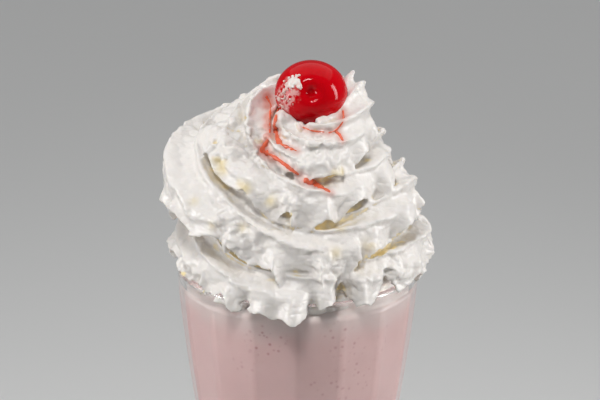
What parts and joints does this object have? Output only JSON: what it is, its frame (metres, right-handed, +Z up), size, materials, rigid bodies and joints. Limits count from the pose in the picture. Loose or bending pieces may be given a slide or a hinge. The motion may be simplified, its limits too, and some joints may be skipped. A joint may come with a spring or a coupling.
{
  "type": "cherry milkshake",
  "caption": "Footed, fluted soda glass filled with pale pink milkshake, topped with a coiled mound of whipped cream and a cherry.",
  "frame": {"origin": "centre of the foot's flat underside", "axes": "+Z up along the glass's axis, -Y towards the side of the mound with the drip and the syrup, +X to the right of it"},
  "size_m": [0.089, 0.0871, 0.2545],
  "materials": {
    "glass": "clear pressed soda glass",
    "milkshake": "smooth, opaque pale pink drink",
    "whipped_cream": "soft white cream, satin",
    "cherry": "glossy, syrup-coated"
  },
  "bodies": {
    "root": {"glass": "glass", "milkshake": "milkshake", "whipped_cream": "whipped_cream", "cherry": "cherry"}
  },
  "joints": []
}
